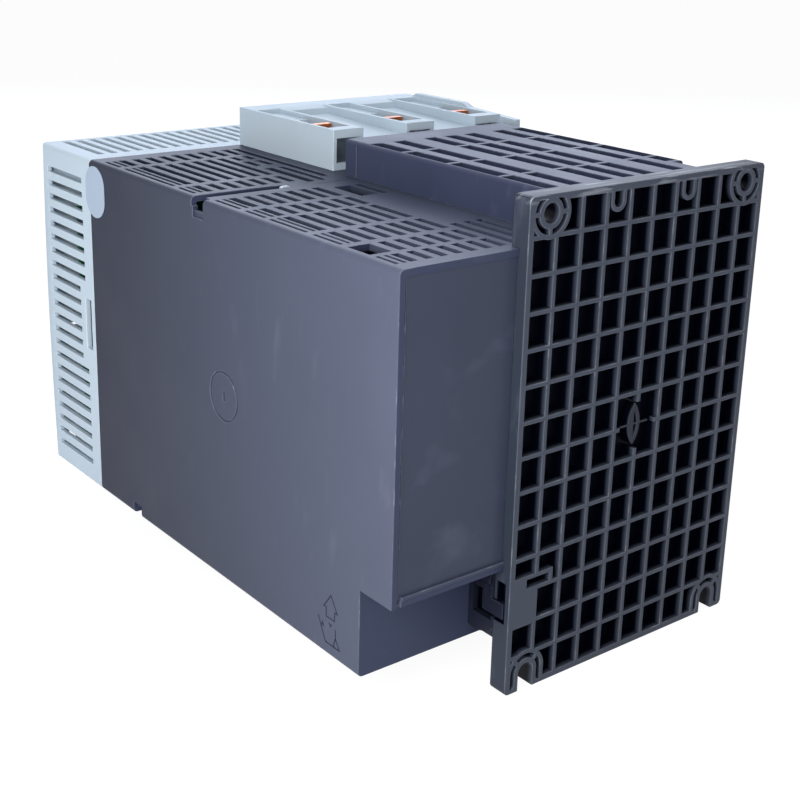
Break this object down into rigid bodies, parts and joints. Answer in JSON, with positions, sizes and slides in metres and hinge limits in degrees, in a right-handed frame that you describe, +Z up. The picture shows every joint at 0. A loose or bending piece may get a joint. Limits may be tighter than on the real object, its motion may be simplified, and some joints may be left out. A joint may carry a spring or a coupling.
{
  "type": "soft starter",
  "caption": "Three-phase motor soft starter on a ribbed mounting plate: ventilated housing, slotted air duct with fan, cage-clamp terminal blocks, grey front cover with keys and flap.",
  "frame": {"origin": "middle of the mounting plate's lower edge, in the mounting plane", "axes": "+X to the right seen from the front, +Y to the rear through the mounting plane, +Z up"},
  "size_m": [0.1703, 0.2706, 0.1848],
  "materials": {
    "dark_plastic": "fine moulded grain",
    "panel_plastic": "satin",
    "light_plastic": "fine moulded grain",
    "key_rubber": "matte",
    "clear_window": "clear",
    "display": "glossy",
    "circuit_board": "solder mask",
    "plug_plastic": "satin",
    "black_plastic": "satin",
    "copper": "bare rolled copper",
    "clamp_steel": "dark zinc",
    "screw_steel": "bright zinc",
    "aluminium": "extruded",
    "brass": "turned",
    "core_steel": "varnished laminations",
    "paper": "matte"
  },
  "bodies": {
    "case": {"base_plate": "dark_plastic", "main_housing": "dark_plastic", "rear_panel": "panel_plastic", "air_hood": "dark_plastic", "fan_tray": "dark_plastic", "fan_frame": "black_plastic", "front_cover": "light_plastic", "operator_panel": "panel_plastic", "window_pane": "clear_window", "display_module": "display", "keypad_board": "circuit_board", "control_board": "circuit_board", "terminal_plug_upper": "plug_plastic", "terminal_plug_lower": "plug_plastic", "plug_screws": "screw_steel", "upper_terminal_block": "light_plastic", "lower_terminal_block": "light_plastic", "heat_sink": "aluminium", "power_board": "circuit_board", "board_posts": "brass", "control_transformer": "core_steel", "cover_screws": "screw_steel", "seal_disc": "paper", "line_bar_1": "copper", "load_bar_1": "copper", "thyristor_1": "black_plastic", "bypass_relay_1": "black_plastic", "current_sensor_1": "black_plastic", "line_bar_2": "copper", "load_bar_2": "copper", "thyristor_2": "black_plastic", "bypass_relay_2": "black_plastic", "current_sensor_2": "black_plastic", "line_bar_3": "copper", "load_bar_3": "copper", "thyristor_3": "black_plastic", "bypass_relay_3": "black_plastic", "current_sensor_3": "black_plastic"},
    "fan_rotor": {"fan_rotor": "black_plastic"},
    "plate_latch": {"plate_latch": "dark_plastic"},
    "control_flap": {"control_flap": "light_plastic"},
    "key_up": {"key_up": "key_rubber"},
    "key_down": {"key_down": "key_rubber"},
    "key_back": {"key_back": "key_rubber"},
    "key_enter": {"key_enter": "key_rubber"},
    "line_screw_1": {"line_screw_1": "screw_steel"},
    "line_cage_1": {"line_cage_1": "clamp_steel"},
    "line_screw_2": {"line_screw_2": "screw_steel"},
    "line_cage_2": {"line_cage_2": "clamp_steel"},
    "line_screw_3": {"line_screw_3": "screw_steel"},
    "line_cage_3": {"line_cage_3": "clamp_steel"},
    "load_screw_1": {"load_screw_1": "screw_steel"},
    "load_cage_1": {"load_cage_1": "clamp_steel"},
    "load_screw_2": {"load_screw_2": "screw_steel"},
    "load_cage_2": {"load_cage_2": "clamp_steel"},
    "load_screw_3": {"load_screw_3": "screw_steel"},
    "load_cage_3": {"load_cage_3": "clamp_steel"}
  },
  "joints": [
    {"name": "fan_spin", "type": "hinge", "parent": "case", "child": "fan_rotor", "pos_m": [-0.00625, -0.066, 0.0205], "axis": [0, 0, 1], "continuous": true},
    {"name": "flap_hinge", "type": "hinge", "parent": "case", "child": "control_flap", "pos_m": [0.074, -0.26735, 0.076], "axis": [-1, 0, 0], "range_deg": [0, 90]},
    {"name": "latch_hinge", "type": "hinge", "parent": "case", "child": "plate_latch", "pos_m": [0.05875, -0.014, 0.043], "axis": [0, -1, 0], "range_deg": [0, 8], "stiffness_Nm_per_rad": 0.05},
    {"name": "key_up_press", "type": "slide", "parent": "case", "child": "key_up", "axis": [0, 1, 0], "range_m": [0, 0.001], "stiffness_N_per_m": 800},
    {"name": "key_down_press", "type": "slide", "parent": "case", "child": "key_down", "axis": [0, 1, 0], "range_m": [0, 0.001], "stiffness_N_per_m": 800},
    {"name": "key_back_press", "type": "slide", "parent": "case", "child": "key_back", "axis": [0, 1, 0], "range_m": [0, 0.001], "stiffness_N_per_m": 800},
    {"name": "key_enter_press", "type": "slide", "parent": "case", "child": "key_enter", "axis": [0, 1, 0], "range_m": [0, 0.001], "stiffness_N_per_m": 800},
    {"name": "line_screw_1_turn", "type": "hinge", "parent": "case", "child": "line_screw_1", "pos_m": [0.02785, -0.18, 0.1735], "axis": [0, 1, 0], "range_deg": [0, 1728]},
    {"name": "line_cage_1_slide", "type": "slide", "parent": "case", "child": "line_cage_1", "axis": [0, -1, 0], "range_m": [0, 0.006]},
    {"name": "line_screw_2_turn", "type": "hinge", "parent": "case", "child": "line_screw_2", "pos_m": [-0.01055, -0.18, 0.1735], "axis": [0, 1, 0], "range_deg": [0, 1728]},
    {"name": "line_cage_2_slide", "type": "slide", "parent": "case", "child": "line_cage_2", "axis": [0, -1, 0], "range_m": [0, 0.006]},
    {"name": "line_screw_3_turn", "type": "hinge", "parent": "case", "child": "line_screw_3", "pos_m": [-0.04895, -0.18, 0.1735], "axis": [0, 1, 0], "range_deg": [0, 1728]},
    {"name": "line_cage_3_slide", "type": "slide", "parent": "case", "child": "line_cage_3", "axis": [0, -1, 0], "range_m": [0, 0.006]},
    {"name": "load_screw_1_turn", "type": "hinge", "parent": "case", "child": "load_screw_1", "pos_m": [0.02785, -0.18, 0.0075], "axis": [0, 1, 0], "range_deg": [0, 1728]},
    {"name": "load_cage_1_slide", "type": "slide", "parent": "case", "child": "load_cage_1", "axis": [0, -1, 0], "range_m": [0, 0.006]},
    {"name": "load_screw_2_turn", "type": "hinge", "parent": "case", "child": "load_screw_2", "pos_m": [-0.01055, -0.18, 0.0075], "axis": [0, 1, 0], "range_deg": [0, 1728]},
    {"name": "load_cage_2_slide", "type": "slide", "parent": "case", "child": "load_cage_2", "axis": [0, -1, 0], "range_m": [0, 0.006]},
    {"name": "load_screw_3_turn", "type": "hinge", "parent": "case", "child": "load_screw_3", "pos_m": [-0.04895, -0.18, 0.0075], "axis": [0, 1, 0], "range_deg": [0, 1728]},
    {"name": "load_cage_3_slide", "type": "slide", "parent": "case", "child": "load_cage_3", "axis": [0, -1, 0], "range_m": [0, 0.006]}
  ],
  "couplings": [
    {"joint": "line_screw_1_turn", "follows": "line_cage_1_slide", "rad_per_m": 5026.5},
    {"joint": "line_screw_2_turn", "follows": "line_cage_2_slide", "rad_per_m": 5026.5},
    {"joint": "line_screw_3_turn", "follows": "line_cage_3_slide", "rad_per_m": 5026.5},
    {"joint": "load_screw_1_turn", "follows": "load_cage_1_slide", "rad_per_m": 5026.5},
    {"joint": "load_screw_2_turn", "follows": "load_cage_2_slide", "rad_per_m": 5026.5},
    {"joint": "load_screw_3_turn", "follows": "load_cage_3_slide", "rad_per_m": 5026.5}
  ]
}
